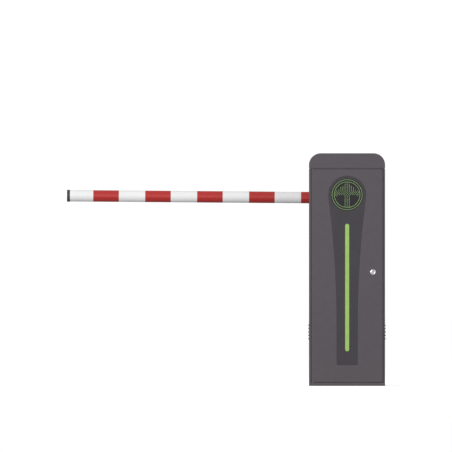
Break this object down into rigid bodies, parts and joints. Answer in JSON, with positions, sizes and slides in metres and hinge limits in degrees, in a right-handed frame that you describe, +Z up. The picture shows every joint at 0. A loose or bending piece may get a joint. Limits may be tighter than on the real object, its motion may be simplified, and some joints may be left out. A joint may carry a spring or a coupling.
{
  "type": "parking barrier gate",
  "caption": "Parking barrier gate: sheet-metal cabinet with keyhole fascia, round arrow display and light strip, lifting a round red and white boom.",
  "frame": {"origin": "centre of the four anchor holes, on the floor, which is the middle of the cabinet's footprint", "axes": "+Z up, -Y out of the door, the boom points to -X behind the cabinet"},
  "size_m": [1.3908, 0.3825, 1.012],
  "materials": {
    "powder_coat": "fine-texture powder coat",
    "inner_paint": "smooth paint",
    "dark_fascia": "dark tinted polycarbonate",
    "window_tint": "dark tinted polycarbonate",
    "light_diffuser": "green translucent diffuser",
    "light_guides": "green LEDs",
    "circuit_board": "solder resist",
    "chrome_lock": "polished chrome",
    "zinc_steel": "zinc plated steel",
    "turned_steel": "turned steel",
    "machine_paint": "machine enamel",
    "cast_aluminium": "sand-cast aluminium",
    "spring_steel": "black oxide spring steel",
    "rubber": "moulded rubber",
    "black_plastic": "moulded ABS",
    "grey_plastic": "moulded polycarbonate",
    "green_plastic": "moulded ABS",
    "red_plastic": "moulded ABS",
    "boom_white": "white powder coat on aluminium",
    "band_red": "red reflective film",
    "cap_plastic": "moulded polyethylene"
  },
  "bodies": {
    "cabinet": {"base_frame": "powder_coat", "cabinet_shell": "powder_coat", "door_frame": "powder_coat", "top_frame": "powder_coat", "door_hinge_pins": "zinc_steel", "front_frame_plate": "zinc_steel", "rear_frame_plate": "zinc_steel", "frame_tie_rods": "zinc_steel", "machine_bolts": "zinc_steel", "bearing_housings": "machine_paint", "shaft_cover": "black_plastic", "gearbox_case": "cast_aluminium", "gearbox_cover": "cast_aluminium", "motor_body": "machine_paint", "balance_spring_front": "spring_steel", "balance_spring_rear": "spring_steel", "spring_anchor_beam": "inner_paint", "spring_adjusters": "zinc_steel", "stop_buffer": "rubber", "control_box": "grey_plastic", "control_box_cover": "grey_plastic", "power_supply": "zinc_steel", "mounting_rail": "zinc_steel", "circuit_breaker": "grey_plastic", "terminal_blocks": "grey_plastic"},
    "lid": {"top_lid": "powder_coat"},
    "door": {"front_door": "powder_coat", "door_seal": "rubber", "fascia_panel": "dark_fascia", "light_strip_lens": "light_diffuser", "display_window": "window_tint", "display_rings": "light_guides", "display_arrow": "light_guides", "led_boards": "circuit_board", "lock_body": "chrome_lock", "lock_nut": "zinc_steel"},
    "lock": {"lock_plug": "chrome_lock", "lock_cam": "zinc_steel"},
    "boom": {"main_shaft": "turned_steel", "rocker_arm": "machine_paint", "spring_cross_pin": "turned_steel", "limit_disc": "black_plastic", "boom_holder_plate": "powder_coat", "boom_clamps": "cast_aluminium", "boom_bolts": "zinc_steel", "boom_tube": "boom_white", "boom_end_cap": "cap_plastic", "boom_root_plug": "cap_plastic", "reflective_bands": "band_red"},
    "crank": {"crank_arm": "machine_paint", "output_shaft": "turned_steel", "output_gear": "turned_steel"},
    "rod": {"connecting_rod": "zinc_steel"},
    "countershaft": {"intermediate_gear": "turned_steel"},
    "rotor": {"motor_rotor": "turned_steel", "hand_wheel": "black_plastic"},
    "toggle": {"breaker_toggle": "black_plastic"},
    "raise_button": {"button_raise": "green_plastic"},
    "stop_button": {"button_stop": "red_plastic"},
    "lower_button": {"button_lower": "black_plastic"}
  },
  "joints": [
    {"name": "boom_swing", "type": "hinge", "parent": "cabinet", "child": "boom", "pos_m": [0, 0, 0.8182], "axis": [0, 1, 0], "range_deg": [0, 89.5], "deforming": ["balance_spring_front", "balance_spring_rear"]},
    {"name": "crank_turn", "type": "hinge", "parent": "cabinet", "child": "crank", "pos_m": [0, 0, 0.56], "axis": [0, 1, 0], "range_deg": [0, 89.5]},
    {"name": "rod_swing", "type": "hinge", "parent": "crank", "child": "rod", "pos_m": [-0.04971, 0.0765, 0.51072], "axis": [0, 1, 0], "range_deg": [-89.5, 0]},
    {"name": "countershaft_turn", "type": "hinge", "parent": "cabinet", "child": "countershaft", "pos_m": [0, 0, 0.497], "axis": [0, 1, 0], "range_deg": [-537, 0]},
    {"name": "motor_turn", "type": "hinge", "parent": "cabinet", "child": "rotor", "pos_m": [0, 0, 0.434], "axis": [0, 1, 0], "range_deg": [0, 3222]},
    {"name": "door_open", "type": "hinge", "parent": "cabinet", "child": "door", "pos_m": [-0.15, -0.139, 0.48], "axis": [0, 0, -1], "range_deg": [0, 98]},
    {"name": "lock_turn", "type": "hinge", "parent": "door", "child": "lock", "pos_m": [0.1123, -0.13, 0.4945], "axis": [0, 1, 0], "range_deg": [0, 90]},
    {"name": "lid_lift", "type": "slide", "parent": "cabinet", "child": "lid", "axis": [0, 0, 1], "range_m": [0, 0.08]},
    {"name": "breaker_flip", "type": "hinge", "parent": "cabinet", "child": "toggle", "pos_m": [-0.06, -0.0415, 0.34], "axis": [-1, 0, 0], "range_deg": [0, 40]},
    {"name": "raise_press", "type": "slide", "parent": "cabinet", "child": "raise_button", "axis": [0, 1, 0], "range_m": [0, 0.0015], "stiffness_N_per_m": 200},
    {"name": "stop_press", "type": "slide", "parent": "cabinet", "child": "stop_button", "axis": [0, 1, 0], "range_m": [0, 0.0015], "stiffness_N_per_m": 200},
    {"name": "lower_press", "type": "slide", "parent": "cabinet", "child": "lower_button", "axis": [0, 1, 0], "range_m": [0, 0.0015], "stiffness_N_per_m": 200}
  ],
  "couplings": [
    {"joint": "crank_turn", "follows": "boom_swing", "ratio": 1},
    {"joint": "rod_swing", "follows": "boom_swing", "ratio": -1},
    {"joint": "countershaft_turn", "follows": "boom_swing", "ratio": -6},
    {"joint": "motor_turn", "follows": "boom_swing", "ratio": 36}
  ]
}
